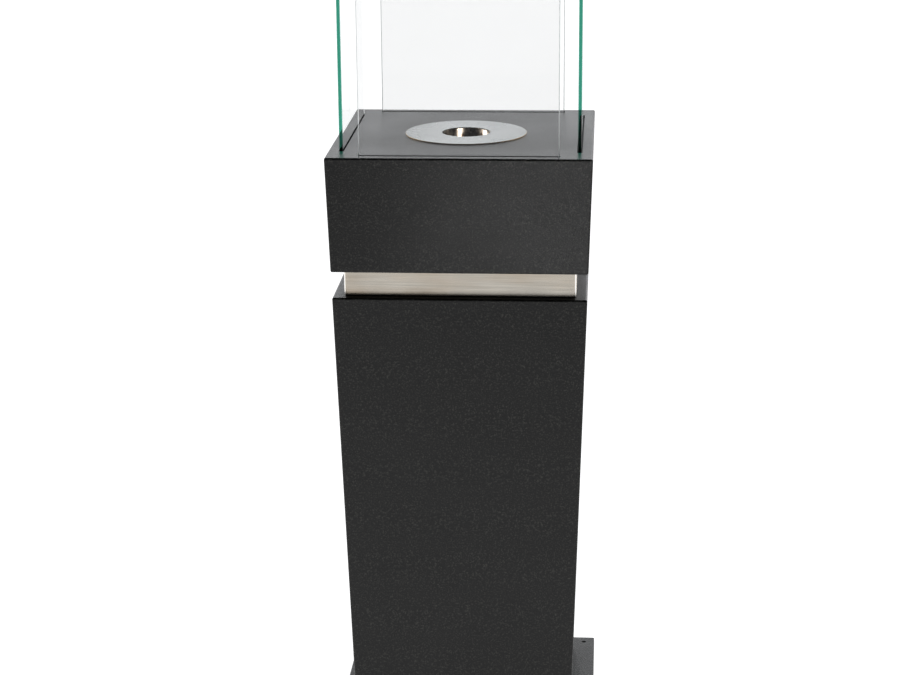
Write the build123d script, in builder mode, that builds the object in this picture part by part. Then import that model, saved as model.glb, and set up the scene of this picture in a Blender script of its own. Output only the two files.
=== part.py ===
from build123d import *
import os

os.makedirs("parts", exist_ok=True)

# A free-standing bioethanol fireplace: a tapered column on a floor plate, a recessed steel neck,
# and a tapered cap that carries a round burner inside four loose glass panes.
# Millimetres. +Z is up, -Y is the front, and the origin is the middle of the plate's underside.

# ---- driving dimensions ----

# body
base_ledge = 32  # plate past the column's foot, all round
base_thickness = 4
base_corner_radius = 3
base_edge_chamfer = 0.4
foot_width = 300  # column, where it meets the base plate
cap_width = 350  # cap, at its top face
column_height = 640
neck_height = 35
cap_height = 155
steel_wall = 2  # folded sheet of column and cap
bend_radius = 2.5  # outside of every fold
column_flange = 28  # turned in at the foot of the column
column_access_hole = 180  # hidden under the neck

# floor fixing
fixing_hole = 7
fixing_margin = 16  # hole centre to the edges of the base plate

# neck
neck_width = 309
neck_band_thickness = 1.2
neck_corner_radius = 4
neck_core_wall = 2
neck_core_flange = 44
cap_floor_thickness = 3
cap_floor_overlap = 14  # floor under the cap's inturned flange, all round
band_seam = 0.6
band_screw_spacing = 22
band_screw_rise = 16

# glass
glass_thickness = 5
glass_height = 315
glass_corner_radius = 4
glass_arris = 0.8
glass_seat_depth = 24  # foot of a pane, below the top face of the cap
slot_margin = 18  # middle of a slot to the edge of the cap
slot_end_clearance = 1
pane_corner_gap = 26  # end of a pane to the plane of its neighbour
channel_wall = 1.5
channel_flange = 15
cushion_floor = 2
cushion_leg = 1
cushion_lip_depth = 1.5  # cushion's top edge, below the underside of the cap's top

# burner
burner_ring_diameter = 166
burner_ring_thickness = 1.5
burner_ring_edge = 0.5
burner_opening = 66
burner_ring_overlap = 8  # ring past the tank, all round
tank_depth = 90
tank_wall = 1.2
tank_corner_radius = 2
throat_depth = 28
throat_wall = 1.2
mesh_thickness = 1
mesh_hole = 4
mesh_pitch = 6
well_wall = 1.2
well_flange = 17

# fasteners
base_screw_size = 5
cap_screw_size = 4
neck_bolt_size = 6
stud_size = 4
band_screw_size = 4
base_screw_spread = 85  # from the middle of each side
cap_screw_spread = 100
stud_spread = 95
stud_edge = 12  # channel flange past its end studs
thread_end = 2  # screw past its nut
washer_thickness = 1.2

# clearances
bolt_clearance = 0.5  # hole over screw, on the diameter
thread_gap = 0.05  # round a screw in its nut
countersink_gap = 0.1
head_recess = 0.2
band_gap = 0.1  # band over the core
band_end_gap = 1  # band to the column and to the cap
glass_fit = 0.05  # each side of a pane in its cushion
cushion_fit = 0.05  # each side of a cushion in its channel
tank_clearance = 1.5  # tank in the cap's hole, on the radius
well_clearance = 3  # tank in the well, on the radius
well_floor_gap = 4
wool_gap = 0.5

# ---- proportions of fasteners to their thread size ----


def hexagon_width(size):
    # across the flats of nuts and heads
    return 1.5 * size + 1


def nut_height(size):
    return 0.8 * size


def head_height(size):
    return 0.65 * size


def washer_width(size):
    return 2 * size


def socket_width(size):
    return 0.6 * size


def tip_chamfer(size):
    return size / 12


def sunk_head_width(size):
    return 2 * size


def sunk_head_height(size):
    # a 90 degree cone from the head's edge to the shank
    return (sunk_head_width(size) - size) / 2


def button_head_width(size):
    return 1.9 * size


def button_head_height(size):
    return 0.55 * size


# ---- levels and places that follow ----

plate_top = base_thickness
column_top = plate_top + column_height
cap_bottom = column_top + neck_height
cap_top = cap_bottom + cap_height
cap_underside = cap_top - steel_wall
body_height = cap_top - plate_top
base_width = foot_width + 2 * base_ledge


def half_width(level):
    # half the outside width of the tapered body at a level
    share = (level - plate_top) / body_height
    return (foot_width + (cap_width - foot_width) * share) / 2


def side_points(distance, spread):
    # one point each side of the middle, on all four sides of a square
    points = []
    for along in (-spread, spread):
        points += [(along, -distance), (along, distance), (-distance, along), (distance, along)]
    return points


def corner_points(distance):
    return [(x, y) for x in (-distance, distance) for y in (-distance, distance)]


def middle_points(distance):
    return [(-distance, 0), (distance, 0), (0, -distance), (0, distance)]


def at_level(points, level):
    return [(x, y, level) for x, y in points]


def from_below(points, level):
    # places that look down, for holes cut from an underside
    return [Location((x, y, level), (180, 0, 0)) for x, y in points]


neck_half = neck_width / 2
band_middle = column_top + neck_height / 2
core_half = neck_half - neck_band_thickness - band_gap
core_corner_radius = neck_corner_radius - neck_band_thickness - band_gap
core_top = cap_bottom - cap_floor_thickness
core_window = core_half - neck_core_flange
column_window = half_width(plate_top) - column_flange
cap_window = core_half - cap_floor_overlap

slot_line = cap_width / 2 - slot_margin
slot_width = glass_thickness + 2 * (glass_fit + cushion_leg + cushion_fit)
glass_width = 2 * (slot_line - pane_corner_gap)
slot_length = glass_width + 2 * slot_end_clearance
glass_foot = cap_top - glass_seat_depth
channel_floor = glass_foot - cushion_floor
channel_depth = cap_underside - channel_floor
channel_inner_face = slot_line - slot_width / 2 - channel_wall
cushion_top = cap_underside - cushion_lip_depth

tank_radius = burner_ring_diameter / 2 - burner_ring_overlap
tank_floor = cap_top - tank_depth
tank_inside = tank_floor + tank_wall
mesh_top = cap_top - throat_depth
mesh_underside = mesh_top - mesh_thickness
wool_radius = tank_radius - tank_wall - wool_gap
well_radius = tank_radius + well_clearance
well_floor = tank_floor - well_floor_gap
well_depth = cap_underside - well_floor

column_flange_line = (half_width(plate_top) - steel_wall + column_window) / 2
core_lower_line = (core_half - neck_core_wall + core_window) / 2
core_upper_line = (cap_window + core_window) / 2
cap_screw_line = (cap_window + core_half) / 2
channel_stud_line = channel_inner_face - channel_flange / 2
channel_flange_reach = stud_spread + stud_edge
stud_length = channel_wall + nut_height(stud_size) + thread_end
band_screw_length = neck_band_thickness + band_gap + neck_core_wall + thread_end
well_stud_radius = well_radius + well_wall + well_flange / 2

base_screw_points = side_points(column_flange_line, base_screw_spread)
cap_screw_points = side_points(cap_screw_line, cap_screw_spread)
neck_lower_points = corner_points(core_lower_line)
neck_upper_points = middle_points(core_upper_line)
channel_stud_points = side_points(channel_stud_line, stud_spread) + middle_points(channel_stud_line)
well_stud_points = corner_points(well_stud_radius / 2**0.5)

pane_turns = {"front": 0, "right": 90, "back": 180, "left": 270}

# ---- fasteners ----


def hex_nut(size):
    with BuildPart() as nut:
        with BuildSketch():
            RegularPolygon(hexagon_width(size) / 2, 6, major_radius=False)
            Circle(size / 2 + thread_gap, mode=Mode.SUBTRACT)
        extrude(amount=nut_height(size))
    return nut.part


def hex_bolt(size, length):
    # the head hangs under z = 0 and the shank stands up
    with BuildPart() as bolt:
        with BuildSketch():
            RegularPolygon(hexagon_width(size) / 2, 6, major_radius=False)
        extrude(amount=-head_height(size))
        with BuildSketch():
            Circle(size / 2)
        extrude(amount=length)
        chamfer(bolt.faces().sort_by(Axis.Z)[-1].edges(), tip_chamfer(size))
    return bolt.part


def flat_washer(size):
    # hangs under z = 0
    with BuildPart() as washer:
        with BuildSketch():
            Circle(washer_width(size) / 2)
            Circle((size + bolt_clearance) / 2, mode=Mode.SUBTRACT)
        extrude(amount=-washer_thickness)
    return washer.part


def sunk_screw(size, length):
    # the head's face is at z = 0 and the shank stands up
    head = sunk_head_height(size)
    with BuildPart() as screw:
        with Locations((0, 0, head / 2)):
            Cone(sunk_head_width(size) / 2, size / 2, head)
        with BuildSketch():
            Circle(size / 2)
        extrude(amount=length)
        chamfer(screw.faces().sort_by(Axis.Z)[-1].edges(), tip_chamfer(size))
        with BuildSketch():
            RegularPolygon(socket_width(size) / 2, 6, major_radius=False)
        extrude(amount=head * 0.7, mode=Mode.SUBTRACT)
    return screw.part


def button_screw(size, length):
    # the head rises above z = 0 and the shank goes down
    head = button_head_height(size)
    with BuildPart() as screw:
        with BuildSketch():
            Circle(button_head_width(size) / 2)
        extrude(amount=head)
        fillet(screw.faces().sort_by(Axis.Z)[-1].edges(), head * 0.6)
        with BuildSketch():
            Circle(size / 2)
        extrude(amount=-length)
        with BuildSketch(Plane.XY.offset(head)):
            RegularPolygon(socket_width(size) / 2, 6, major_radius=False)
        extrude(amount=-head * 0.7, mode=Mode.SUBTRACT)
    return screw.part


# ---- floor plate ----

with BuildPart() as base_plate:
    with BuildSketch():
        RectangleRounded(base_width, base_width, base_corner_radius)
    extrude(amount=base_thickness)
    chamfer(base_plate.faces().sort_by(Axis.Z)[-1].edges(), base_edge_chamfer)
    with Locations((0, 0, plate_top)):
        with GridLocations(base_width - 2 * fixing_margin, base_width - 2 * fixing_margin, 2, 2):
            Hole(fixing_hole / 2, base_thickness)
    with Locations(*from_below(base_screw_points, 0)):
        CounterSinkHole(
            (base_screw_size + bolt_clearance) / 2,
            sunk_head_width(base_screw_size) / 2 + head_recess + countersink_gap,
            base_thickness,
            90,
        )
base_plate.part.label = "base_plate"
export_step(base_plate.part, "parts/base_plate.step")

# ---- column: folded sheet, closed on top, with a flange turned in at the foot ----

with BuildPart() as column_shell:
    for level in (plate_top, column_top):
        with BuildSketch(Plane.XY.offset(level)):
            Rectangle(2 * half_width(level), 2 * half_width(level))
    loft()
    fillet(column_shell.edges().filter_by(Plane.XY, reverse=True), bend_radius)
    fillet(column_shell.faces().sort_by(Axis.Z)[-1].edges(), bend_radius)
    fillet(column_shell.faces().sort_by(Axis.Z)[0].edges(), bend_radius)
    for level in (plate_top + steel_wall, column_top - steel_wall):
        with BuildSketch(Plane.XY.offset(level)):
            Rectangle(2 * (half_width(level) - steel_wall), 2 * (half_width(level) - steel_wall))
    loft(mode=Mode.SUBTRACT)
    with BuildSketch(Plane.XY.offset(plate_top)):
        Rectangle(2 * column_window, 2 * column_window)
    extrude(amount=steel_wall, mode=Mode.SUBTRACT)
    with Locations(*at_level(base_screw_points, plate_top + steel_wall)):
        Hole((base_screw_size + bolt_clearance) / 2, steel_wall)
    with Locations(*at_level(neck_lower_points, column_top)):
        Hole((neck_bolt_size + bolt_clearance) / 2, steel_wall)
    with Locations((0, 0, column_top)):
        Hole(column_access_hole / 2, steel_wall)
column_shell.part.label = "column_shell"
export_step(column_shell.part, "parts/column_shell.step")

base_nut = hex_nut(base_screw_size)
with BuildPart() as column_weld_nuts:
    with Locations(*at_level(base_screw_points, plate_top + steel_wall)):
        add(base_nut)
column_weld_nuts.part.label = "column_weld_nuts"
export_step(column_weld_nuts.part, "parts/column_weld_nuts.step")

base_screw_grip = base_thickness - head_recess + steel_wall + nut_height(base_screw_size)
base_screw = sunk_screw(base_screw_size, base_screw_grip + thread_end)
with BuildPart() as base_screws:
    with Locations(*at_level(base_screw_points, head_recess)):
        add(base_screw)
base_screws.part.label = "base_screws"
export_step(base_screws.part, "parts/base_screws.step")

# ---- neck: a flanged frame bolted to column and cap floor, wrapped in a steel band ----

with BuildPart() as neck_core:
    with BuildSketch(Plane.XY.offset(column_top)):
        RectangleRounded(2 * core_half, 2 * core_half, core_corner_radius)
    extrude(amount=core_top - column_top)
    with BuildSketch(Plane.XY.offset(column_top + neck_core_wall)):
        Rectangle(2 * (core_half - neck_core_wall), 2 * (core_half - neck_core_wall))
    extrude(amount=core_top - column_top - 2 * neck_core_wall, mode=Mode.SUBTRACT)
    with BuildSketch(Plane.XY.offset(column_top)):
        Rectangle(2 * core_window, 2 * core_window)
    extrude(amount=core_top - column_top, mode=Mode.SUBTRACT)
    with Locations(*at_level(neck_lower_points, column_top + neck_core_wall)):
        Hole((neck_bolt_size + bolt_clearance) / 2, neck_core_wall)
    with Locations(*at_level(neck_upper_points, core_top)):
        Hole((neck_bolt_size + bolt_clearance) / 2, neck_core_wall)
    with BuildSketch(Plane.XZ.offset(-core_half)):
        with Locations((0, band_middle)):
            with GridLocations(band_screw_spacing, band_screw_rise, 2, 2):
                Circle(band_screw_size / 2 + thread_gap)
    extrude(amount=neck_core_wall, mode=Mode.SUBTRACT)
neck_core.part.label = "neck_core"
export_step(neck_core.part, "parts/neck_core.step")

with BuildPart() as neck_band:
    band_inside = neck_width - 2 * neck_band_thickness
    with BuildSketch(Plane.XY.offset(column_top + band_end_gap)):
        RectangleRounded(neck_width, neck_width, neck_corner_radius)
        RectangleRounded(
            band_inside, band_inside, neck_corner_radius - neck_band_thickness, mode=Mode.SUBTRACT
        )
        with Locations((0, neck_half)):
            Rectangle(band_seam, 3 * neck_band_thickness, mode=Mode.SUBTRACT)
    extrude(amount=neck_height - 2 * band_end_gap)
    with BuildSketch(Plane.XZ.offset(-neck_half)):
        with Locations((0, band_middle)):
            with GridLocations(band_screw_spacing, band_screw_rise, 2, 2):
                Circle((band_screw_size + bolt_clearance) / 2)
    extrude(amount=neck_band_thickness, mode=Mode.SUBTRACT)
neck_band.part.label = "neck_band"
export_step(neck_band.part, "parts/neck_band.step")

band_screw = button_screw(band_screw_size, band_screw_length)
with BuildPart() as neck_band_screws:
    with Locations(Location((0, neck_half, band_middle), (-90, 0, 0))):
        with GridLocations(band_screw_spacing, band_screw_rise, 2, 2):
            add(band_screw)
neck_band_screws.part.label = "neck_band_screws"
export_step(neck_band_screws.part, "parts/neck_band_screws.step")

neck_nut = hex_nut(neck_bolt_size)
with BuildPart() as neck_weld_nuts:
    with Locations(*at_level(neck_lower_points, column_top + neck_core_wall)):
        add(neck_nut)
neck_weld_nuts.part.label = "neck_weld_nuts"
export_step(neck_weld_nuts.part, "parts/neck_weld_nuts.step")

neck_washer = flat_washer(neck_bolt_size)
with BuildPart() as neck_lower_washers:
    with Locations(*at_level(neck_lower_points, column_top - steel_wall)):
        add(neck_washer)
neck_lower_washers.part.label = "neck_lower_washers"
export_step(neck_lower_washers.part, "parts/neck_lower_washers.step")

lower_grip = washer_thickness + steel_wall + neck_core_wall + nut_height(neck_bolt_size)
lower_bolt = hex_bolt(neck_bolt_size, lower_grip + thread_end)
with BuildPart() as neck_lower_bolts:
    with Locations(*at_level(neck_lower_points, column_top - steel_wall - washer_thickness)):
        add(lower_bolt)
neck_lower_bolts.part.label = "neck_lower_bolts"
export_step(neck_lower_bolts.part, "parts/neck_lower_bolts.step")

with BuildPart() as neck_upper_washers:
    with Locations(*at_level(neck_upper_points, core_top - neck_core_wall)):
        add(neck_washer)
neck_upper_washers.part.label = "neck_upper_washers"
export_step(neck_upper_washers.part, "parts/neck_upper_washers.step")

upper_grip = washer_thickness + neck_core_wall + cap_floor_thickness + nut_height(neck_bolt_size)
upper_bolt = hex_bolt(neck_bolt_size, upper_grip + thread_end)
with BuildPart() as neck_upper_bolts:
    with Locations(*at_level(neck_upper_points, core_top - neck_core_wall - washer_thickness)):
        add(upper_bolt)
neck_upper_bolts.part.label = "neck_upper_bolts"
export_step(neck_upper_bolts.part, "parts/neck_upper_bolts.step")

# ---- cap: folded sheet with a flange turned in at the foot, screwed to its floor ----

with BuildPart() as cap_shell:
    for level in (cap_bottom, cap_top):
        with BuildSketch(Plane.XY.offset(level)):
            Rectangle(2 * half_width(level), 2 * half_width(level))
    loft()
    fillet(cap_shell.edges().filter_by(Plane.XY, reverse=True), bend_radius)
    fillet(cap_shell.faces().sort_by(Axis.Z)[-1].edges(), bend_radius)
    fillet(cap_shell.faces().sort_by(Axis.Z)[0].edges(), bend_radius)
    for level in (cap_bottom + steel_wall, cap_underside):
        with BuildSketch(Plane.XY.offset(level)):
            Rectangle(2 * (half_width(level) - steel_wall), 2 * (half_width(level) - steel_wall))
    loft(mode=Mode.SUBTRACT)
    with BuildSketch(Plane.XY.offset(cap_bottom)):
        Rectangle(2 * cap_window, 2 * cap_window)
    extrude(amount=steel_wall, mode=Mode.SUBTRACT)
    with Locations(*at_level(cap_screw_points, cap_bottom + steel_wall)):
        Hole((cap_screw_size + bolt_clearance) / 2, steel_wall)
    with BuildSketch(Plane.XY.offset(cap_underside)):
        with PolarLocations(slot_line, 4):
            Rectangle(slot_width, slot_length)
        Circle(tank_radius + tank_clearance)
    extrude(amount=steel_wall, mode=Mode.SUBTRACT)
cap_shell.part.label = "cap_shell"
export_step(cap_shell.part, "parts/cap_shell.step")

with BuildPart() as cap_floor:
    with BuildSketch(Plane.XY.offset(core_top)):
        RectangleRounded(2 * core_half, 2 * core_half, core_corner_radius)
    extrude(amount=cap_floor_thickness)
    with Locations(*at_level(neck_upper_points, cap_bottom)):
        Hole((neck_bolt_size + bolt_clearance) / 2, cap_floor_thickness)
    with Locations(*from_below(cap_screw_points, core_top)):
        CounterSinkHole(
            (cap_screw_size + bolt_clearance) / 2,
            sunk_head_width(cap_screw_size) / 2 + head_recess + countersink_gap,
            cap_floor_thickness,
            90,
        )
cap_floor.part.label = "cap_floor"
export_step(cap_floor.part, "parts/cap_floor.step")

with BuildPart() as cap_floor_weld_nuts:
    with Locations(*at_level(neck_upper_points, cap_bottom)):
        add(neck_nut)
cap_floor_weld_nuts.part.label = "cap_floor_weld_nuts"
export_step(cap_floor_weld_nuts.part, "parts/cap_floor_weld_nuts.step")

cap_screw_grip = cap_floor_thickness - head_recess + steel_wall + nut_height(cap_screw_size)
cap_screw = sunk_screw(cap_screw_size, cap_screw_grip + thread_end)
with BuildPart() as cap_floor_screws:
    with Locations(*at_level(cap_screw_points, core_top + head_recess)):
        add(cap_screw)
cap_floor_screws.part.label = "cap_floor_screws"
export_step(cap_floor_screws.part, "parts/cap_floor_screws.step")

cap_nut = hex_nut(cap_screw_size)
with BuildPart() as cap_flange_weld_nuts:
    with Locations(*at_level(cap_screw_points, cap_bottom + steel_wall)):
        add(cap_nut)
cap_flange_weld_nuts.part.label = "cap_flange_weld_nuts"
export_step(cap_flange_weld_nuts.part, "parts/cap_flange_weld_nuts.step")

with BuildPart() as cap_weld_studs:
    with BuildSketch(Plane.XY.offset(cap_underside)):
        with Locations(*channel_stud_points, *well_stud_points):
            Circle(stud_size / 2)
    extrude(amount=-stud_length)
cap_weld_studs.part.label = "cap_weld_studs"
export_step(cap_weld_studs.part, "parts/cap_weld_studs.step")

stud_nut = hex_nut(stud_size)
with BuildPart() as cap_stud_nuts:
    with Locations(*at_level(channel_stud_points, cap_underside - channel_wall - nut_height(stud_size))):
        add(stud_nut)
    with Locations(*at_level(well_stud_points, cap_underside - well_wall - nut_height(stud_size))):
        add(stud_nut)
cap_stud_nuts.part.label = "cap_stud_nuts"
export_step(cap_stud_nuts.part, "parts/cap_stud_nuts.step")

# ---- the four panes, each loose in a cushion that lines its channel ----

for side, turn in pane_turns.items():
    side_plane = Plane.XY.rotated((0, 0, turn))
    outwards = -side_plane.y_dir
    # a section across the pane, outwards to the right
    section_plane = Plane(origin=(0, 0, 0), x_dir=outwards, z_dir=-side_plane.x_dir)
    flange_plane = Plane(origin=(0, 0, cap_underside), x_dir=side_plane.x_dir, z_dir=(0, 0, 1))
    pane_plane = Plane(origin=outwards * slot_line, x_dir=side_plane.x_dir, z_dir=outwards)

    with BuildPart() as glass_channel:
        with BuildSketch(section_plane):
            with Locations((slot_line, channel_floor - channel_wall)):
                Rectangle(
                    slot_width + 2 * channel_wall,
                    channel_depth + channel_wall,
                    align=(Align.CENTER, Align.MIN),
                )
            with Locations((slot_line, channel_floor)):
                Rectangle(slot_width, channel_depth, align=(Align.CENTER, Align.MIN), mode=Mode.SUBTRACT)
        extrude(amount=slot_length / 2, both=True)
        with BuildSketch(section_plane):
            with Locations((channel_inner_face, cap_underside)):
                Rectangle(channel_flange, channel_wall, align=(Align.MAX, Align.MAX))
        extrude(amount=channel_flange_reach, both=True)
        with BuildSketch(flange_plane):
            with Locations(*[(along, -channel_stud_line) for along in (-stud_spread, 0, stud_spread)]):
                Circle((stud_size + bolt_clearance) / 2)
        extrude(amount=-channel_wall, mode=Mode.SUBTRACT)
    glass_channel.part.label = f"glass_channel_{side}"
    export_step(glass_channel.part, f"parts/glass_channel_{side}.step")

    with BuildPart() as glass_cushion:
        with BuildSketch(section_plane):
            with Locations((slot_line, channel_floor)):
                Rectangle(
                    slot_width - 2 * cushion_fit,
                    cushion_top - channel_floor,
                    align=(Align.CENTER, Align.MIN),
                )
            with Locations((slot_line, glass_foot)):
                Rectangle(
                    glass_thickness + 2 * glass_fit,
                    cushion_top - glass_foot,
                    align=(Align.CENTER, Align.MIN),
                    mode=Mode.SUBTRACT,
                )
        extrude(amount=glass_width / 2, both=True)
    glass_cushion.part.label = f"glass_cushion_{side}"
    export_step(glass_cushion.part, f"parts/glass_cushion_{side}.step")

    with BuildPart() as glass_panel:
        with BuildSketch(pane_plane):
            with Locations((0, glass_foot + glass_height / 2)):
                RectangleRounded(glass_width, glass_height, glass_corner_radius)
        extrude(amount=glass_thickness / 2, both=True)
        pane_faces = glass_panel.faces().sort_by(Axis((0, 0, 0), outwards))
        chamfer(pane_faces[0].edges() + pane_faces[-1].edges(), glass_arris)
    glass_panel.part.label = f"glass_panel_{side}"
    export_step(glass_panel.part, f"parts/glass_panel_{side}.step")

# ---- burner, and the well under the cap's top that it stands in ----

with BuildPart() as burner_well:
    with BuildSketch(Plane.XY.offset(well_floor - well_wall)):
        Circle(well_radius + well_wall)
    extrude(amount=well_depth + well_wall)
    with BuildSketch(Plane.XY.offset(cap_underside - well_wall)):
        Circle(well_radius + well_wall + well_flange)
    extrude(amount=well_wall)
    with BuildSketch(Plane.XY.offset(well_floor)):
        Circle(well_radius)
    extrude(amount=well_depth, mode=Mode.SUBTRACT)
    with Locations(*at_level(well_stud_points, cap_underside)):
        Hole((stud_size + bolt_clearance) / 2, well_wall)
burner_well.part.label = "burner_well"
export_step(burner_well.part, "parts/burner_well.step")

with BuildPart() as burner_ring:
    with BuildSketch(Plane.XY.offset(cap_top)):
        Circle(burner_ring_diameter / 2)
        Circle(burner_opening / 2, mode=Mode.SUBTRACT)
    extrude(amount=burner_ring_thickness)
    fillet(burner_ring.faces().sort_by(Axis.Z)[-1].edges(), burner_ring_edge)
burner_ring.part.label = "burner_ring"
export_step(burner_ring.part, "parts/burner_ring.step")

with BuildPart() as burner_throat:
    with BuildSketch(Plane.XY.offset(mesh_top)):
        Circle(burner_opening / 2 + throat_wall)
        Circle(burner_opening / 2, mode=Mode.SUBTRACT)
    extrude(amount=throat_depth)
burner_throat.part.label = "burner_throat"
export_step(burner_throat.part, "parts/burner_throat.step")

with BuildPart() as burner_tank:
    with BuildSketch(Plane.XY.offset(tank_floor)):
        Circle(tank_radius)
    extrude(amount=tank_depth)
    fillet(burner_tank.faces().sort_by(Axis.Z)[0].edges(), tank_corner_radius)
    with BuildSketch(Plane.XY.offset(tank_inside)):
        Circle(tank_radius - tank_wall)
    extrude(amount=tank_depth - tank_wall, mode=Mode.SUBTRACT)
burner_tank.part.label = "burner_tank"
export_step(burner_tank.part, "parts/burner_tank.step")

with BuildPart() as burner_mesh:
    mesh_reach = burner_opening / 2 - mesh_hole / 2
    mesh_rows = int(2 * mesh_reach / mesh_pitch) + 3
    with HexLocations(mesh_pitch / 2, mesh_rows, mesh_rows) as mesh_grid:
        mesh_places = [place for place in mesh_grid.local_locations if place.position.length < mesh_reach]
    with BuildSketch(Plane.XY.offset(mesh_underside)):
        Circle(wool_radius)
        with Locations(*mesh_places):
            Circle(mesh_hole / 2, mode=Mode.SUBTRACT)
    extrude(amount=mesh_thickness)
burner_mesh.part.label = "burner_mesh"
export_step(burner_mesh.part, "parts/burner_mesh.step")

with BuildPart() as burner_wool:
    with BuildSketch(Plane.XY.offset(tank_inside)):
        Circle(wool_radius)
    extrude(amount=mesh_underside - tank_inside)
burner_wool.part.label = "burner_wool"
export_step(burner_wool.part, "parts/burner_wool.step")
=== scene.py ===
import math

import bmesh
import bpy
from mathutils import Matrix, Vector, noise


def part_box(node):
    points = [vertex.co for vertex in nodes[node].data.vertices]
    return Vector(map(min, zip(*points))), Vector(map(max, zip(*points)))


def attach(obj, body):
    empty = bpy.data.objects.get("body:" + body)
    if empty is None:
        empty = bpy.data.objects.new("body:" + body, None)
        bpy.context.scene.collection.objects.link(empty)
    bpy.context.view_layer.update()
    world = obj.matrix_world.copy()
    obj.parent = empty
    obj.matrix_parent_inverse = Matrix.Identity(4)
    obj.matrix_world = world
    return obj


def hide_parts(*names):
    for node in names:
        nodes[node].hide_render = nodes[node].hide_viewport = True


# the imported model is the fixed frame: metres, +Z up, -Y to the front
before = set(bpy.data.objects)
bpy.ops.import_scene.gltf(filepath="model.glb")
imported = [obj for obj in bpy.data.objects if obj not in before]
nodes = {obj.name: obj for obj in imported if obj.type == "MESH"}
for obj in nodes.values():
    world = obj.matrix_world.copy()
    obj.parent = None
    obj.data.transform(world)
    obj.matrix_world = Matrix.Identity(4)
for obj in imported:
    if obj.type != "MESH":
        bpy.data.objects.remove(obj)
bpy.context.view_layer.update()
mm = 0.001
print("frame loaded:", len(nodes), "nodes")


def addNode(tree, kind, inputs=None, **settings):
    # an input given another node's output is linked to it, any other is set
    node = tree.nodes.new(kind)
    for name, value in settings.items():
        setattr(node, name, value)
    for name, value in (inputs or {}).items():
        if isinstance(value, bpy.types.NodeSocket):
            tree.links.new(value, node.inputs[name])
        else:
            node.inputs[name].default_value = value
    return node


def newMaterial(name):
    material = bpy.data.materials.new(name)
    material.use_nodes = True
    material.node_tree.nodes.clear()
    return material, material.node_tree


def finishMaterial(tree, shader):
    addNode(tree, "ShaderNodeOutputMaterial", {"Surface": shader})


def principled(tree, inputs):
    return addNode(tree, "ShaderNodeBsdfPrincipled", inputs).outputs[0]


def objectPoint(tree):
    return addNode(tree, "ShaderNodeTexCoord").outputs["Object"]


def objectPlace(tree, stretch=(1, 1, 1)):
    # object coordinates in metres, stretched for a pattern with a direction
    inputs = {"Vector": objectPoint(tree), "Scale": stretch}
    return addNode(tree, "ShaderNodeMapping", inputs).outputs["Vector"]


def grain(tree, place, scale, detail=2.0, roughness=0.5):
    # scale is in repeats to the metre
    inputs = {"Vector": place, "Scale": scale, "Detail": detail, "Roughness": roughness}
    return addNode(tree, "ShaderNodeTexNoise", inputs).outputs["Fac"]


def stretchedGrain(tree, scales, detail=2.0, roughness=0.5):
    # scales is the repeats to the metre in x, y and z
    return grain(tree, objectPlace(tree, scales), 1.0, detail, roughness)


def spread(tree, pattern, low, high, fromLow=0.3, fromHigh=0.7, smooth=False):
    # a pattern turned into a value between low and high
    inputs = {
        "Value": pattern,
        "From Min": fromLow,
        "From Max": fromHigh,
        "To Min": low,
        "To Max": high,
    }
    curve = "SMOOTHSTEP" if smooth else "LINEAR"
    return addNode(tree, "ShaderNodeMapRange", inputs, interpolation_type=curve).outputs["Result"]


def blendColours(tree, pattern, first, second, fromLow=0.3, fromHigh=0.7):
    ramp = addNode(tree, "ShaderNodeValToRGB", {"Fac": pattern})
    for index, (position, colour) in enumerate(((fromLow, first), (fromHigh, second))):
        element = ramp.color_ramp.elements[index]
        element.position = position
        element.color = (*colour, 1)
    return ramp.outputs["Color"]


def relief(tree, pattern, depth, strength=1.0, below=None):
    # depth in metres from the pattern's lowest to its highest
    inputs = {"Height": pattern, "Distance": depth, "Strength": strength}
    if below:
        inputs["Normal"] = below
    return addNode(tree, "ShaderNodeBump", inputs).outputs["Normal"]


def scalarMath(tree, operation, first, second):
    return addNode(tree, "ShaderNodeMath", {0: first, 1: second}, operation=operation).outputs[0]


def vectorMath(tree, operation, *values):
    node = addNode(tree, "ShaderNodeVectorMath", dict(enumerate(values)), operation=operation)
    return node.outputs["Value" if operation == "LENGTH" else "Vector"]


def mixColours(tree, share, first, second, blend="MIX"):
    # this node takes its colours at sockets 6 and 7 and gives one out at 2
    inputs = {0: share, 6: first, 7: second}
    mix = addNode(tree, "ShaderNodeMix", inputs, data_type="RGBA", blend_type=blend)
    return mix.outputs[2]


def mixShaders(tree, share, first, second):
    # the first shader where share is 0, the second where it is 1
    return addNode(tree, "ShaderNodeMixShader", {0: share, 1: first, 2: second}).outputs[0]


powderCoat = {
    "dark": (0, 0, 0),
    "light": (0.041, 0.041, 0.0355),
    "blend": (0.52, 0.7),  # part of the grain over which dark turns light
    "specular": 0.3,
    "roughness": (0.28, 0.36),
    "grainScale": 460,  # repeats to the metre
    "grainDepth": 0.6 * mm,
    "orangePeelScale": 160,
    "orangePeelDepth": 0.05 * mm,
    "handlingScale": 7,
}


def makePowderCoat(name, finish):
    material, tree = newMaterial(name)
    place = objectPlace(tree)
    fine = grain(tree, place, finish["grainScale"], detail=3.0, roughness=0.6)
    peel = grain(tree, place, finish["orangePeelScale"], detail=1.0)
    handling = grain(tree, place, finish["handlingScale"], detail=4.0, roughness=0.6)
    colour = blendColours(tree, fine, finish["dark"], finish["light"], *finish["blend"])
    skin = relief(tree, peel, finish["orangePeelDepth"])
    shader = principled(
        tree,
        {
            "Base Color": colour,
            "Specular IOR Level": finish["specular"],
            "Roughness": spread(tree, handling, *finish["roughness"]),
            "Normal": relief(tree, fine, finish["grainDepth"], below=skin),
        },
    )
    finishMaterial(tree, shader)
    return material


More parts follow.
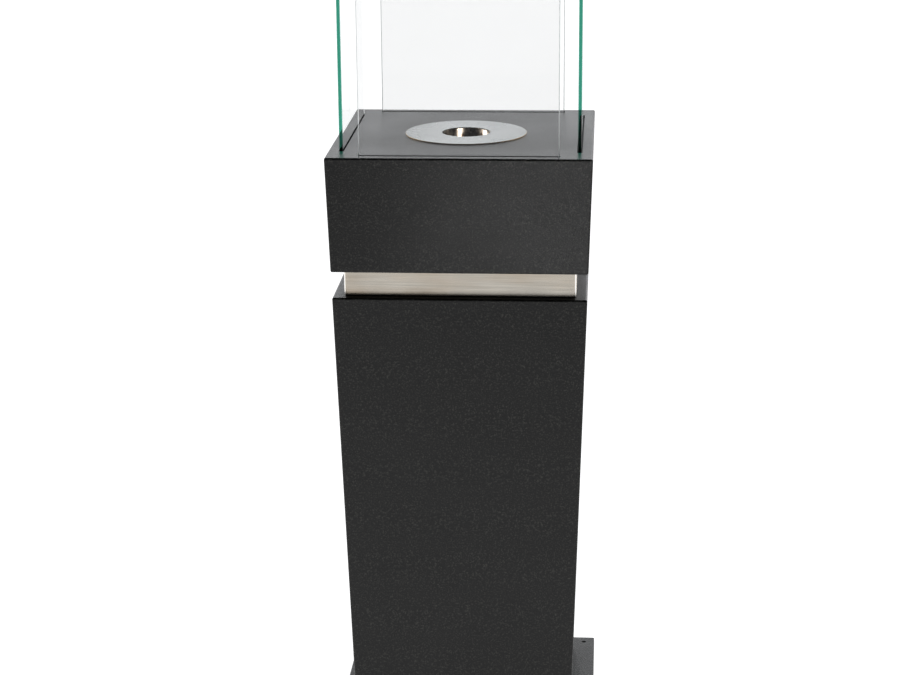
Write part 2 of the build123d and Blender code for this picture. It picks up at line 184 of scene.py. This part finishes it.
brushedBand = {
    "dark": (0.36, 0.33, 0.285),
    "light": (0.61, 0.575, 0.515),
    "tarnish": (0.90, 0.82, 0.74),  # warms the steel in long patches
    "tarnishScale": (7, 7, 30),
    "roughness": (0.2, 0.27),
    "cloudScale": 14,
    "lineScale": 1500,  # brush lines to the metre of height
    "lineLength": 8,  # repeats to the metre along a line
    "lineDepth": 0.012 * mm,
    "anisotropy": 0.75,
    "turned": 0.25,  # the gloss spreads across the lines
    "foldHighlight": (0.9, 0.875, 0.835),  # painted highlight: the corner folds are painted brighter, standing in for the light they catch
    "foldBlend": (152.3 * mm, 152.7 * mm),  # from the axis, in both x and y
}

burnerSteel = {
    "dark": (0.268, 0.277, 0.272),
    "light": (0.347, 0.356, 0.349),
    "tarnish": (0.97, 0.98, 1.0),
    "tarnishScale": (14, 14, 14),
    "roughness": (0.22, 0.3),
    "cloudScale": 14,
    "lineScale": 1500,  # brush lines to the metre from front to back
    "lineLength": 10,
    "lineDepth": 0.003 * mm,
    "anisotropy": 0.3,
    "turned": 0.0,
    "rimTintAndGlint": (0.44, 0.31, 0.17),  # heat tint in straw and brown round the burner's rim, brightened into a painted golden highlight on its lip
    "rimBlend": (82.3 * mm, 82.7 * mm),  # radius over which it comes in
}


def makeBrushedSteel(name, finish, across):
    # across is 1 for the axis that the brush lines lie across, of x, y and z
    material, tree = newMaterial(name)
    lineScales = [finish["lineScale"] if packed else finish["lineLength"] for packed in across]
    lines = stretchedGrain(tree, lineScales, detail=4.0, roughness=0.65)
    clouds = grain(tree, objectPlace(tree), finish["cloudScale"], detail=3.0)
    patches = stretchedGrain(tree, finish["tarnishScale"], detail=3.0, roughness=0.6)
    steel = blendColours(tree, lines, finish["dark"], finish["light"], fromLow=0.25, fromHigh=0.75)
    warmth = blendColours(tree, patches, (1, 1, 1), finish["tarnish"], fromLow=0.4, fromHigh=0.7)
    colour = mixColours(tree, 1.0, steel, warmth, "MULTIPLY")
    # heat tint round the rim, with a painted golden highlight on its lip
    if "rimTintAndGlint" in finish:
        colour = tintRimAndPaintGlint(tree, finish, colour)
    # painted highlight on the corner folds, where the finish has one
    if "foldHighlight" in finish:
        colour = paintFoldHighlights(tree, finish, colour)
    shader = principled(
        tree,
        {
            "Base Color": colour,
            "Metallic": 1.0,
            "Roughness": spread(tree, clouds, *finish["roughness"]),
            "Anisotropic": finish["anisotropy"],
            "Anisotropic Rotation": finish["turned"],
            "Normal": relief(tree, lines, finish["lineDepth"]),
        },
    )
    finishMaterial(tree, shader)
    return material


def tintRimAndPaintGlint(tree, finish, colour):
    # past the rim's radius the steel takes the heat tint and the painted golden highlight
    flat = vectorMath(tree, "MULTIPLY", objectPoint(tree), (1, 1, 0))
    onRim = spread(tree, vectorMath(tree, "LENGTH", flat), 0, 1, *finish["rimBlend"])
    return mixColours(tree, onRim, colour, (*finish["rimTintAndGlint"], 1))


def paintFoldHighlights(tree, finish, colour):
    # painted highlight on the corner folds, which are where both x and y are far out
    size = vectorMath(tree, "ABSOLUTE", objectPoint(tree))
    axes = addNode(tree, "ShaderNodeSeparateXYZ", {"Vector": size})
    nearer = scalarMath(tree, "MINIMUM", axes.outputs["X"], axes.outputs["Y"])
    onFoldHighlight = spread(tree, nearer, 0, 1, *finish["foldBlend"])
    return mixColours(tree, onFoldHighlight, colour, (*finish["foldHighlight"], 1))


innerSteel = {
    "clean": (0.29, 0.25, 0.205),
    "heatTinted": (0.03, 0.017, 0.01),
    "blend": (0.4, 0.54),  # part of the spots over which clean turns tinted
    "roughness": (0.33, 0.38),
    "anisotropy": 0.95,
    "turned": 0.25,  # the gloss spreads up and down the wall
    "spotScale": 60,
    "lineScales": (60, 60, 2500),
    "lineDepth": 0.01 * mm,
    "lineStrength": 0.6,
}


def makeInnerSteel(name, finish):
    # drawn steel, brushed round the axis and tinted in spots by the flame
    material, tree = newMaterial(name)
    spots = grain(tree, objectPlace(tree), finish["spotScale"], detail=4.0, roughness=0.6)
    lines = stretchedGrain(tree, finish["lineScales"])
    colour = blendColours(tree, spots, finish["clean"], finish["heatTinted"], *finish["blend"])
    shader = principled(
        tree,
        {
            "Base Color": colour,
            "Metallic": 1.0,
            "Roughness": spread(tree, spots, *finish["roughness"]),
            "Anisotropic": finish["anisotropy"],
            "Anisotropic Rotation": finish["turned"],
            "Normal": relief(tree, lines, finish["lineDepth"], finish["lineStrength"]),
        },
    )
    finishMaterial(tree, shader)
    return material


fastenerSteel = {
    "dark": (0.42, 0.42, 0.42),
    "light": (0.62, 0.62, 0.61),
    "roughness": (0.22, 0.38),
    "crystalScale": 320,
    "grainScale": 1920,
    "grainDepth": 0.02 * mm,
    "grainStrength": 0.5,
}

zincPlate = {
    "dark": (0.36, 0.38, 0.42),
    "light": (0.60, 0.62, 0.64),
    "roughness": (0.28, 0.5),
    "crystalScale": 120,
    "grainScale": 720,
    "grainDepth": 0.03 * mm,
    "grainStrength": 0.5,
}


def makePlatedSteel(name, finish):
    material, tree = newMaterial(name)
    place = objectPlace(tree)
    crystals = addNode(
        tree,
        "ShaderNodeTexVoronoi",
        {"Vector": place, "Scale": finish["crystalScale"], "Randomness": 1.0},
    ).outputs["Distance"]
    fine = grain(tree, place, finish["grainScale"])
    colour = blendColours(
        tree, crystals, finish["dark"], finish["light"], fromLow=0, fromHigh=0.9
    )
    shader = principled(
        tree,
        {
            "Base Color": colour,
            "Metallic": 1.0,
            "Roughness": spread(tree, fine, *finish["roughness"]),
            "Normal": relief(tree, fine, finish["grainDepth"], finish["grainStrength"]),
        },
    )
    finishMaterial(tree, shader)
    return material


silicone = {
    "dark": (0.006, 0.006, 0.006),
    "light": (0.014, 0.014, 0.015),
    "specular": 0.35,
    "roughness": (0.5, 0.7),
    "dustScale": 500,
    "dustDepth": 0.02 * mm,
}


def makeSilicone(name, finish):
    material, tree = newMaterial(name)
    dust = grain(tree, objectPlace(tree), finish["dustScale"], detail=3.0)
    colour = blendColours(tree, dust, finish["dark"], finish["light"], fromLow=0.4, fromHigh=0.7)
    shader = principled(
        tree,
        {
            "Base Color": colour,
            "Specular IOR Level": finish["specular"],
            "Roughness": spread(tree, dust, *finish["roughness"]),
            "Normal": relief(tree, dust, finish["dustDepth"]),
        },
    )
    finishMaterial(tree, shader)
    return material


glassPane = {
    "ior": 1.5,
    "clear": (0.872, 0.874, 0.874),  # what one pane lets through
    "gloss": (1.0, 0.35),  # share of a clean pane's: front and back, sides
    "dust": (0.8, 0.8, 0.8),
    "smudgeScale": 9,
    "smudge": (0.0, 0.012),
    "smudgeBlend": (0.45, 0.75),
    "green": (0.035, 0.23, 0.16),  # what its edge lets through
    "edgeShine": 0.06,
    "edgeRoughness": 0.2,
    "edgeShare": 0.05,  # of the chamfer's width, still taken as the edge
    "arris": (0.82, 0.84, 0.84),  # ground chamfer along the edge
    "arrisRoughness": 0.35,
    "arrisTint": ((0.75, 0.78, 0.78), (0.08, 0.42, 0.31)),  # front and back panes, side panes
    "arrisHaze": (0.85, 0.25),
    "arrisWidth": (1.1 * mm, 0.7 * mm),
    "cornerRadius": 4 * mm,
}


def outlineDistance(tree, along, corner):
    # metres inside the rounded outline of a pane, below zero, seen square on
    low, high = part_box("glass_panel_front")
    reach = [1, 1, (high.z - low.z) / 2 - corner]
    reach[along] = high.x - corner
    fromMiddle = vectorMath(tree, "SUBTRACT", objectPoint(tree), (0, 0, (low.z + high.z) / 2))
    past = vectorMath(tree, "SUBTRACT", vectorMath(tree, "ABSOLUTE", fromMiddle), reach)
    outside = vectorMath(tree, "LENGTH", vectorMath(tree, "MAXIMUM", past, (0, 0, 0)))
    return scalarMath(tree, "SUBTRACT", outside, corner)


def makeGlass(name, finish, along):
    # along is the axis that the pane runs along: 0 for x, 1 for y
    material, tree = newMaterial(name)
    backfacing = addNode(tree, "ShaderNodeNewGeometry").outputs["Backfacing"]
    ray = addNode(tree, "ShaderNodeLightPath")
    seenDirectly = ray.outputs["Is Camera Ray"]
    bentBefore = ray.outputs["Is Transmission Ray"]

    def shade(kind, colour, **inputs):
        inputs["Color"] = (*colour, 1)
        return addNode(tree, kind, inputs).outputs[0]

    def clear(colour):
        return shade("ShaderNodeBsdfTransparent", colour)

    def bending(colour):
        return shade("ShaderNodeBsdfRefraction", colour, Roughness=0, IOR=finish["ior"])

    # the face: it bends what is seen through it, with a gloss that grows at a low angle
    gloss = shade("ShaderNodeBsdfGlossy", (1, 1, 1), Roughness=0)
    dust = shade("ShaderNodeBsdfDiffuse", finish["dust"])
    shine = addNode(tree, "ShaderNodeFresnel", {"IOR": finish["ior"]}).outputs["Fac"]
    smudges = grain(tree, objectPlace(tree), finish["smudgeScale"], detail=4.0, roughness=0.6)
    haze = spread(tree, smudges, *finish["smudge"], *finish["smudgeBlend"])
    dusty = mixShaders(tree, haze, bending(finish["clear"]), dust)
    share = scalarMath(tree, "MULTIPLY", shine, finish["gloss"][along])
    seen = mixShaders(tree, share, dusty, gloss)
    # light that is already scattered passes straight, which keeps the render clean
    direct = scalarMath(tree, "MAXIMUM", seenDirectly, bentBefore)
    face = mixShaders(tree, direct, clear(finish["clear"]), seen)
    # the chamfer: partly clear, partly ground
    ground = principled(
        tree, {"Base Color": (*finish["arris"], 1), "Roughness": finish["arrisRoughness"]}
    )
    tinted = clear(finish["arrisTint"][along])
    chamfer = mixShaders(tree, finish["arrisHaze"][along], tinted, ground)
    # the edge: the green of the whole width of the pane
    polish = principled(
        tree, {"Base Color": (*finish["green"], 1), "Roughness": finish["edgeRoughness"]}
    )
    edge = mixShaders(tree, finish["edgeShine"], clear(finish["green"]), polish)
    distance = outlineDistance(tree, along, finish["cornerRadius"])
    width = finish["arrisWidth"][along]
    onEdge = scalarMath(tree, "GREATER_THAN", distance, -width * finish["edgeShare"])
    onArris = scalarMath(tree, "GREATER_THAN", distance, -width)
    outside = mixShaders(tree, onEdge, mixShaders(tree, onArris, face, chamfer), edge)
    # from inside: a bent ray is bent back on the faces, any other goes straight out
    straight = clear((1, 1, 1))
    leaving = mixShaders(tree, bentBefore, straight, bending((1, 1, 1)))
    inside = mixShaders(tree, onArris, leaving, straight)
    finishMaterial(tree, mixShaders(tree, backfacing, outside, inside))
    return material


fibre = {
    "dark": (0.42, 0.40, 0.36),
    "light": (0.78, 0.77, 0.73),
    "stainScale": 30,
    "specular": 0.2,
    "roughness": (0.85, 1.0),
    "sheen": 0.3,
    "strandScale": 420,
    "strandDepth": 0.4 * mm,
}


def makeFibre(name, finish):
    # white ceramic fibre, a little browned by the fuel
    material, tree = newMaterial(name)
    place = objectPlace(tree)
    strands = grain(tree, place, finish["strandScale"], detail=5.0, roughness=0.75)
    stains = grain(tree, place, finish["stainScale"], detail=3.0)
    colour = blendColours(
        tree, stains, finish["light"], finish["dark"], fromLow=0.4, fromHigh=0.75
    )
    shader = principled(
        tree,
        {
            "Base Color": colour,
            "Specular IOR Level": finish["specular"],
            "Roughness": spread(tree, strands, *finish["roughness"]),
            "Sheen Weight": finish["sheen"],
            "Normal": relief(tree, strands, finish["strandDepth"]),
        },
    )
    finishMaterial(tree, shader)
    return material


finishes = {
    "black_powder_coat": makePowderCoat("blackPowderCoat", powderCoat),
    "brushed_stainless": makeBrushedSteel("brushedNeckSteel", brushedBand, (0, 0, 1)),
    "stainless_fasteners": makePlatedSteel("stainlessScrewSteel", fastenerSteel),
    "burner_stainless": makeBrushedSteel("burnerRingSteel", burnerSteel, (0, 1, 0)),
    "burner_inner_steel": makeInnerSteel("brightInnerSteel", innerSteel),
    "ceramic_wool": makeFibre("ceramicFibre", fibre),
    "clear_glass": makeGlass("clearPaneGlass", glassPane, 0),
    "black_silicone": makeSilicone("blackSilicone", silicone),
    "zinc_plated_steel": makePlatedSteel("zincPlatedSteel", zincPlate),
}
for node in nodes.values():
    for slot in node.material_slots:
        slot.material = finishes[slot.material.name]
sideGlass = makeGlass("clearSidePaneGlass", glassPane, 1)
for side in ("left", "right"):
    nodes[f"glass_panel_{side}"].material_slots[0].material = sideGlass
print("finishes:", len(finishes))


woolPad = {
    "edgeGap": 0.4 * mm,  # to the tank's wall
    "topGap": 0.3 * mm,  # under the mesh
    "edgeRadius": 4 * mm,
    "lumps": 1.2 * mm,
    "lumpSize": 6 * mm,
    "tufts": 0.5 * mm,
    "tuftSize": 1.6 * mm,
    "stillBase": 1 * mm,  # height at the foot that stays smooth
    "rings": 30,
    "bendSteps": 6,
    "wallSteps": 8,
    "turns": 120,
    "weld": 0.01 * mm,
}


def makeWoolPad(pad):
    low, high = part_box("burner_wool")
    radius = high.x - pad["edgeGap"]
    top = high.z - pad["topGap"]
    bend = pad["edgeRadius"]
    flat = radius - bend
    wall = top - bend - low.z
    profile = [Vector((flat * step / pad["rings"], 0, top)) for step in range(pad["rings"])]
    for step in range(pad["bendSteps"] + 1):
        angle = math.radians(90 * step / pad["bendSteps"])
        profile.append(
            Vector((flat + bend * math.sin(angle), 0, top - bend + bend * math.cos(angle)))
        )
    for step in range(1, pad["wallSteps"]):
        profile.append(Vector((radius, 0, top - bend - wall * step / pad["wallSteps"])))
    profile.append(Vector((radius - pad["edgeGap"], 0, low.z)))
    profile.append(Vector((0, 0, low.z)))
    shape = bmesh.new()
    line = [shape.verts.new(point) for point in profile]
    edges = [shape.edges.new(pair) for pair in zip(line, line[1:])]
    bmesh.ops.spin(
        shape,
        geom=line + edges,
        cent=(0, 0, 0),
        axis=(0, 0, 1),
        dvec=(0, 0, 0),
        angle=math.tau,
        steps=pad["turns"],
        use_merge=True,
        use_normal_flip=False,
        use_duplicate=False,
    )
    bmesh.ops.remove_doubles(shape, verts=shape.verts, dist=pad["weld"])
    bmesh.ops.recalc_face_normals(shape, faces=shape.faces)
    for vert in shape.verts:
        if vert.co.z < low.z + pad["stillBase"]:
            continue
        lump = abs(noise.noise(vert.co / pad["lumpSize"])) * pad["lumps"]
        tuft = abs(noise.noise(vert.co / pad["tuftSize"])) * pad["tufts"]
        vert.co -= vert.normal * (lump + tuft)
    mesh = bpy.data.meshes.new("woolPad")
    shape.to_mesh(mesh)
    shape.free()
    for face in mesh.polygons:
        face.use_smooth = True
    mesh.materials.append(finishes["ceramic_wool"])
    piece = bpy.data.objects.new("woolPad", mesh)
    bpy.context.scene.collection.objects.link(piece)
    return piece


wool = makeWoolPad(woolPad)
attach(wool, "burner")
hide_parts("burner_wool")
print("wool pad:", len(wool.data.polygons), "faces")


studio = {
    "floor": (0.90, 0.90, 0.90),
    "floorGlow": 0.98,
    "floorRoughness": 0.9,
    "floorSpecular": 0.1,
    "floorReach": 40,  # metres
    "floorFade": (-4.8, -3.2),  # y over which it darkens, before the object
    "floorFar": 0.35,  # its share of the brightness past there
    "skyColour": (0.965, 0.98, 1.0),
    "skyBehind": 1.52,
    "skyInFront": 0.07,
    "sideBlend": (-0.4, 0.6),  # from in front to behind
    "zenithShare": 0.2,
    "heightBlend": (0.35, 0.75),  # from low down to overhead
    # each softbox is there for one gloss in the photo, and reaches only the piece it lights
    "softboxes": {
        "frontRight": {
            "place": (1.42, -1.95, 2.2),
            "aim": (0, 0, 0.8),
            "size": (0.9, 1.5),
            "watts": 440,
            "spread": 180,  # degrees
            "lights": "burner_throat",
        },
        "left": {
            "place": (-2.1, 0.6, 2.1),
            "aim": (0, 0, 0.8),
            "size": (1.1, 1.5),
            "watts": 680,
            "spread": 180,
            "lights": "burner_throat",
        },
        "lowFront": {
            "place": (0.03, -1.5, 0.42),
            "aim": (0.12, -0.17, 0.78),
            "size": (0.3, 0.3),
            "watts": 0.055,
            "spread": 16,
            "lights": "cap_shell",
        },
    },
}


def makeFloor(setup):
    shape = bmesh.new()
    bmesh.ops.create_grid(shape, x_segments=1, y_segments=1, size=setup["floorReach"])
    mesh = bpy.data.meshes.new("studioFloor")
    shape.to_mesh(mesh)
    shape.free()
    material, tree = newMaterial("studioFloor")
    axes = addNode(tree, "ShaderNodeSeparateXYZ", {"Vector": objectPoint(tree)})
    far = setup["floorFar"]
    fade = spread(tree, axes.outputs["Y"], far, 1, *setup["floorFade"], smooth=True)
    dim = [part * far for part in setup["floor"]]
    glow = spread(tree, fade, 0, setup["floorGlow"], fromLow=0, fromHigh=1)
    shader = principled(
        tree,
        {
            "Base Color": blendColours(tree, fade, dim, setup["floor"], far, 1),
            "Specular IOR Level": setup["floorSpecular"],
            "Roughness": setup["floorRoughness"],
            "Emission Color": (1, 1, 1, 1),
            "Emission Strength": glow,
        },
    )
    finishMaterial(tree, shader)
    mesh.materials.append(material)
    floor = bpy.data.objects.new("studioFloor", mesh)
    bpy.context.scene.collection.objects.link(floor)


def makeSky(setup):
    # bright low down behind the object, dark overhead and on the camera's side
    world = bpy.data.worlds.new("studioSky")
    world.use_nodes = True
    tree = world.node_tree
    tree.nodes.clear()
    direction = addNode(tree, "ShaderNodeTexCoord").outputs["Generated"]
    axes = addNode(tree, "ShaderNodeSeparateXYZ", {"Vector": direction}).outputs
    height = spread(
        tree, axes["Z"], 1.0, setup["zenithShare"], *setup["heightBlend"], smooth=True
    )
    side = spread(
        tree, axes["Y"], setup["skyInFront"], setup["skyBehind"], *setup["sideBlend"], smooth=True
    )
    strength = scalarMath(tree, "MULTIPLY", height, side)
    inputs = {"Color": (*setup["skyColour"], 1), "Strength": strength}
    background = addNode(tree, "ShaderNodeBackground", inputs).outputs[0]
    addNode(tree, "ShaderNodeOutputWorld", {"Surface": background})
    bpy.context.scene.world = world


def makeLights(setup):
    for name, box in setup["softboxes"].items():
        lamp = bpy.data.lights.new(name + "Softbox", "AREA")
        lamp.shape = "RECTANGLE"
        lamp.size, lamp.size_y = box["size"]
        lamp.energy = box["watts"]
        lamp.spread = math.radians(box["spread"])
        light = bpy.data.objects.new(name + "Softbox", lamp)
        light.location = box["place"]
        facing = Vector(box["aim"]) - Vector(box["place"])
        light.rotation_euler = facing.to_track_quat("-Z", "Y").to_euler()
        light.visible_camera = False
        receivers = bpy.data.collections.new(name + "Lights")
        receivers.objects.link(nodes[box["lights"]])
        light.light_linking.receiver_collection = receivers
        bpy.context.scene.collection.objects.link(light)


makeFloor(studio)
makeSky(studio)
makeLights(studio)
bpy.context.scene.view_settings.view_transform = "Standard"
print("studio: floor, sky and", len(studio["softboxes"]), "softboxes")


photoCamera = {
    "lens": 87.19,  # millimetres
    "sensor": 36,
    "farClip": 200,  # metres
    "place": (0.19021, -2.93670, 1.41354),
    "turn": 4.19,  # degrees to the left of straight back
    "tilt": 16.505,  # degrees down
    "lean": -0.511,  # degrees
}


def makeCamera(setup):
    view = bpy.data.cameras.new("photoCamera")
    view.lens = setup["lens"]
    view.sensor_width = setup["sensor"]
    view.clip_end = setup["farClip"]
    camera = bpy.data.objects.new("photoCamera", view)
    turned = (
        Matrix.Rotation(math.radians(setup["turn"]), 4, "Z")
        @ Matrix.Rotation(math.radians(90 - setup["tilt"]), 4, "X")
        @ Matrix.Rotation(math.radians(setup["lean"]), 4, "Z")
    )
    camera.matrix_world = Matrix.Translation(setup["place"]) @ turned
    bpy.context.scene.collection.objects.link(camera)
    bpy.context.scene.camera = camera


makeCamera(photoCamera)
print("camera set")
